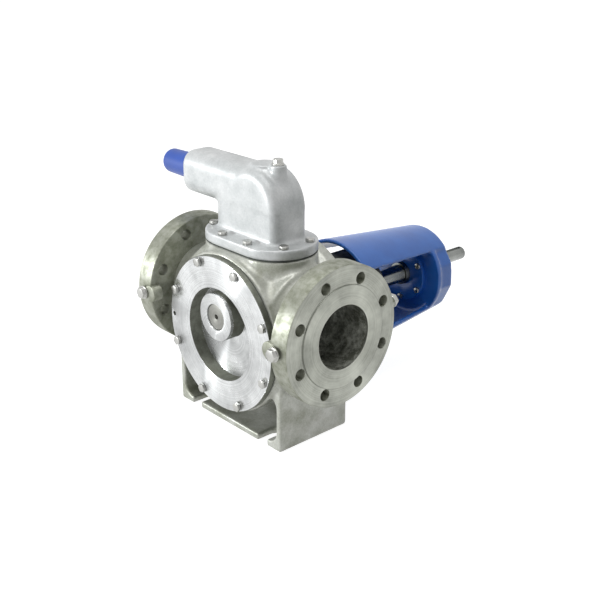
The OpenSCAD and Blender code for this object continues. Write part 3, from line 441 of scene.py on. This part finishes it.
def as_mesh(name, shape):
    """Turns a bmesh into a mesh and frees it."""
    mesh = bpy.data.meshes.new(name)
    shape.to_mesh(mesh)
    shape.free()
    return mesh


def as_object(name, mesh):
    made = bpy.data.objects.new(name, mesh)
    bpy.context.scene.collection.objects.link(made)
    return made


def piece(name, shape, node, smooth=32, slot=None, material=None):
    slot = slot or SLOT_OF[node]
    mesh = as_mesh(name, shape)
    mesh.materials.append(material or FINISHES[slot])
    mesh.polygons.foreach_set("use_smooth", [True] * len(mesh.polygons))
    mesh.set_sharp_from_angle(angle=math.radians(smooth))
    made = as_object(name, mesh)
    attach(made, BODY_OF[node])
    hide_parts(node)
    print(name, "faces", len(mesh.polygons))


# %% [markdown]
# Some tools exist only as modifiers, such as Remesh and Boolean. A bmesh can
# go through one by way of a work object, which is removed right afterwards.

# %% Shapes through a modifier
def through(shape, kind, **values):
    """Runs a bmesh through one modifier and returns the result."""
    mesh = as_mesh("work", shape)
    work = as_object("work", mesh)
    modifier = work.modifiers.new(kind.lower(), kind)
    for key, value in values.items():
        setattr(modifier, key, value)
    depsgraph = bpy.context.evaluated_depsgraph_get()
    result = bpy.data.meshes.new_from_object(work.evaluated_get(depsgraph))
    bpy.data.objects.remove(work)
    bpy.data.meshes.remove(mesh)
    shape = bmesh.new()
    shape.from_mesh(result)
    bpy.data.meshes.remove(result)
    return shape


def cut(shape, tool):
    """Cuts one bmesh out of another."""
    mesh = as_mesh("tool", tool)
    cutter = as_object("tool", mesh)
    shape = through(shape, "BOOLEAN", operation="DIFFERENCE", object=cutter)
    bpy.data.objects.remove(cutter)
    bpy.data.meshes.remove(mesh)
    return shape


# %% [markdown]
# ## Castings
# Sand casting leaves no sharp corners: outer edges are rounded and inner ones
# are filled. Sculpting would do it by hand. Here a copy of the solid becomes a
# fine grid of equal faces, which is relaxed a little to round its edges. Then
# it is relaxed a lot, and only the points that moved outwards keep their new
# place. Those are the ones in the inner corners, so the corners fill up.

# %% Casting helpers
def relax(shape, rounds):
    for _ in range(rounds):
        bmesh.ops.smooth_vert(shape, verts=shape.verts, factor=0.5,
                              use_axis_x=True, use_axis_y=True, use_axis_z=True)


def cast(shape, voxel, rounds, filling):
    shape = through(shape, "REMESH", mode="VOXEL", voxel_size=voxel)
    relax(shape, rounds)
    shape.normal_update()
    before = [(v.co.copy(), v.normal.copy()) for v in shape.verts]
    relax(shape, filling)
    for v, (was, outwards) in zip(shape.verts, before):
        v.co = was + outwards * max(0, (v.co - was).dot(outwards))
    relax(shape, 2)
    return shape


# %% [markdown]
# The casing, the relief valve and the bracket are such castings. The flanges
# are cut off the casing first, because they are machined. The voxel size sets
# how fine the grid is, and the filling how wide the inner corners become.

# %% Cast copies
FLANGE_ROOT = 149.6 * MM
CUTTER = (60 * MM, 400 * MM, 400 * MM)
SMOOTH_CASTING = 60

ends = bmesh.new()
for side in (-1, 1):
    box = bmesh.ops.create_cube(ends, size=1)["verts"]
    bmesh.ops.scale(ends, verts=box, vec=CUTTER)
    bmesh.ops.translate(ends, verts=box, vec=(side * (FLANGE_ROOT + CUTTER[0] / 2), 0, PORT_Z))
piece("casting", cast(cut(merged("casing"), ends), voxel=2.5 * MM, rounds=2, filling=28),
      "casing", smooth=SMOOTH_CASTING)
piece("valve_casting", cast(merged("valve_body"), voxel=1.7 * MM, rounds=4, filling=50),
      "valve_body", smooth=SMOOTH_CASTING)
piece("bracket_casting", cast(merged("bearing_bracket"), voxel=2.0 * MM, rounds=3, filling=12),
      "bearing_bracket", smooth=SMOOTH_CASTING)

# %% [markdown]
# ## Machined shapes
# Turned shapes are spun from their profile, holes are cut with a Boolean, and
# sharp edges are bevelled. The triangles of each flat face are joined first,
# so that the bevel meets whole edges.

# %% Shaping helpers
SHARP = math.radians(30)


def spun(profile, axis_point, axis, steps=128):
    """Spins a closed profile, a list of points, a full turn about an axis."""
    shape = bmesh.new()
    points = [shape.verts.new(point) for point in profile]
    edges = [shape.edges.new(pair) for pair in zip(points, points[1:] + points[:1])]
    bmesh.ops.spin(shape, geom=points + edges, cent=axis_point, axis=axis,
                   angle=math.tau, steps=steps, use_merge=True)
    bmesh.ops.remove_doubles(shape, verts=shape.verts, dist=WELD)
    bmesh.ops.recalc_face_normals(shape, faces=shape.faces)
    return shape


def rod(shape, start, end, diameter, segments=48):
    """Adds a closed cylinder between two points and returns its vertices."""
    start, end = Vector(start), Vector(end)
    turn = (end - start).to_track_quat("Z", "Y").to_matrix().to_4x4()
    return bmesh.ops.create_cone(
        shape, cap_ends=True, segments=segments, radius1=diameter / 2, radius2=diameter / 2,
        depth=(end - start).length,
        matrix=Matrix.Translation((start + end) / 2) @ turn)["verts"]


def ease(shape, width, segments=2):
    """Bevels every sharp edge."""
    triangles = [f for f in shape.faces if len(f.verts) == 3]
    bmesh.ops.join_triangles(shape, faces=triangles, angle_face_threshold=math.radians(1),
                             angle_shape_threshold=math.pi)
    edges = [e for e in shape.edges if e.is_manifold and e.calc_face_angle() > SHARP]
    bmesh.ops.bevel(shape, geom=edges, offset=width, offset_type="OFFSET", affect="EDGES",
                    segments=segments, profile=0.5, material=-1, clamp_overlap=False)
    return shape


# %% [markdown]
# ## Port flanges
# Each flange carries two round bosses for gauges on its rim: one that points
# to the front and a smaller one that points to the back and a little up. A
# boss is given by its place along the port axis in millimetres, its direction
# in degrees and its width, and only its outer edge is bevelled.

# %% Gauge bosses
GAUGE_BOSSES = ((148, 180, 28), (172.5, 12, 21))
BOSS_ROOT = 96
BOSS_END = 113


def add_gauge_boss(flange, x, tilt, width):
    tilt = math.radians(tilt)
    out = Vector((0, math.cos(tilt), math.sin(tilt)))
    middle = Vector((x * MM, 0, PORT_Z))
    boss = rod(flange, middle + out * BOSS_ROOT * MM, middle + out * BOSS_END * MM, width * MM)
    edge = [e for e in {e for v in boss for e in v.link_edges}
            if all((v.co - middle).dot(out) > (BOSS_END - 1) * MM for v in e.verts)]
    bmesh.ops.bevel(flange, geom=edge, offset=1.2 * MM, affect="EDGES", segments=2,
                    profile=0.5, material=-1)


# %% [markdown]
# The profile gives the distance from the middle of the pump and from the port
# axis, in millimetres. It is spun about the port axis, and the eight bolt
# holes are cut with a Boolean, because a round hole in a round face has no
# simple grid. The left holes are a little wider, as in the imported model.

# %% Port flanges
FLANGE_PROFILE = [(118, 49.8), (185.4, 49.8), (186, 50.4), (186, 79.4), (185.4, 80), (183, 80),
                  (183, 108.8), (181.8, 110), (149.6, 110), (148.6, 109), (148.6, 64),
                  (140, 56), (118, 52)]
HOLE_COUNT = 8
HOLE_CIRCLE = 90 * MM
HOLE_REACH = 140 * MM, 200 * MM

for side, word, hole in ((1, "right", 18 * MM), (-1, "left", 18.32 * MM)):
    flange = spun([(side * x * MM, 0, PORT_Z + r * MM) for x, r in FLANGE_PROFILE],
                  (0, 0, PORT_Z), (1, 0, 0))
    holes = bmesh.new()
    for number in range(HOLE_COUNT):
        angle = math.radians(360 / HOLE_COUNT * (number + 0.5))
        y, z = HOLE_CIRCLE * math.cos(angle), PORT_Z + HOLE_CIRCLE * math.sin(angle)
        rod(holes, *[(side * x, y, z) for x in HOLE_REACH], hole)
    flange = ease(cut(flange, holes), 0.7 * MM)
    for x, tilt, width in GAUGE_BOSSES:
        add_gauge_boss(flange, side * x, tilt, width)
    piece("port_flange_" + word, flange, "casing", slot="turned_steel", material=flange_steel)

# %% [markdown]
# ## Machined pieces and screws
# Turned and milled pieces have small chamfers that catch the light. Copies of
# their CAD solids take a bevel on every sharp edge, with its width given here
# in millimetres.

# %% Machined pieces and screws
EDGE_WIDTHS = {"front_cover": 0.9, "cover_bolts": 0.6, "valve_screws": 0.6, "idler_pin": 0.6,
               "valve_plug": 0.5, "gauge_plugs": 0.6, "valve_cap": 2.0, "shaft": 0.6,
               "rear_cover": 0.8, "bearing_cover_front": 0.8, "bearing_cover_rear": 0.8,
               "bearing_cover_screws": 0.5, "bracket_bolts": 0.6, "rear_cover_screws": 0.5,
               "gland": 0.6, "gland_nuts": 0.4}
OWN_FINISH = {"front_cover": cover_steel, "idler_pin": pin_steel, "gland": gland_steel}
for node, width in EDGE_WIDTHS.items():
    eased = ease(merged(node), width * MM, segments=2 if width < 1 else 3)
    piece(node + "_eased", eased, node, material=OWN_FINISH.get(node))

# %% [markdown]
# ## The floor and the light
# The photograph has a plain white background. The floor glows white for the
# camera and for reflections, and reflects lamplight as a pale grey floor does,
# so that it keeps a faint shadow.

# %% Floor
FLOOR_HALF = 60
FLOOR_COLOR = 0.45
FLOOR_GLOW = 0.9
shape = bmesh.new()
bmesh.ops.create_grid(shape, x_segments=1, y_segments=1, size=FLOOR_HALF)
floor = as_object("floor", as_mesh("floor", shape))
floor_white, floor_shader = new_material("floor_white", (FLOOR_COLOR,) * 3, 0.0, 0.9)
floor_shader.inputs["Emission Color"].default_value = (1, 1, 1, 1)
rays = add(floor_white, "ShaderNodeLightPath")
seen = math_node(floor_white, "MAXIMUM", rays.outputs["Is Camera Ray"],
                 rays.outputs["Is Glossy Ray"])
glow = math_node(floor_white, "MULTIPLY", seen, FLOOR_GLOW)
link(floor_white, glow, floor_shader.inputs["Emission Strength"])
floor.data.materials.append(floor_white)
print("floor", 2 * FLOOR_HALF, "m wide")

# %% [markdown]
# The world is white where it is seen, directly or in a reflection, and a weak
# even light for everything else.

# %% World
WORLD_LIGHT = 0.26
world = bpy.data.worlds.new("studio")
bpy.context.scene.world = world
world.use_nodes = True
sky = world.node_tree.nodes["Background"]
sky.inputs["Color"].default_value = (1, 1, 1, 1)
rays = add(world, "ShaderNodeLightPath")
seen = math_node(world, "MAXIMUM", rays.outputs["Is Camera Ray"],
                 rays.outputs["Is Transmission Ray"])
seen = math_node(world, "MAXIMUM", seen, rays.outputs["Is Glossy Ray"])
strength = number_ramp(world, seen, WORLD_LIGHT, 1.0, start=0.0, end=1.0)
link(world, strength, sky.inputs["Strength"])
print("world light", WORLD_LIGHT)

# %% [markdown]
# Two lamps light the pump. The small one stands in front on the left, low and
# fairly hard, and makes the valve and the cover bright. The wide one hangs
# above and lights the tops of the necks and of the blue tube. The Standard
# view transform keeps white white, as in a picture for a catalogue.

# %% Lamps
def panel(name, position, target, size, watts, color=(1, 1, 1)):
    light = bpy.data.lights.new(name, "AREA")
    light.shape = "RECTANGLE"
    light.size = light.size_y = size
    light.energy = watts
    light.color = color
    lamp = as_object(name, light)
    lamp.location = position
    aim = Vector(target) - Vector(position)
    lamp.rotation_euler = aim.to_track_quat("-Z", "Y").to_euler()
    print("lamp", name, watts, "W, from", round(aim.length, 2), "m")


panel("front_left", (-1.48, -2.41, 0.80), (0, 0, 0.22), size=0.35, watts=68,
      color=(0.97, 0.99, 1.0))
panel("above", (0.1, -0.2, 2.6), (0, 0.1, 0.2), size=1.6, watts=28)
bpy.context.scene.view_settings.view_transform = "Standard"
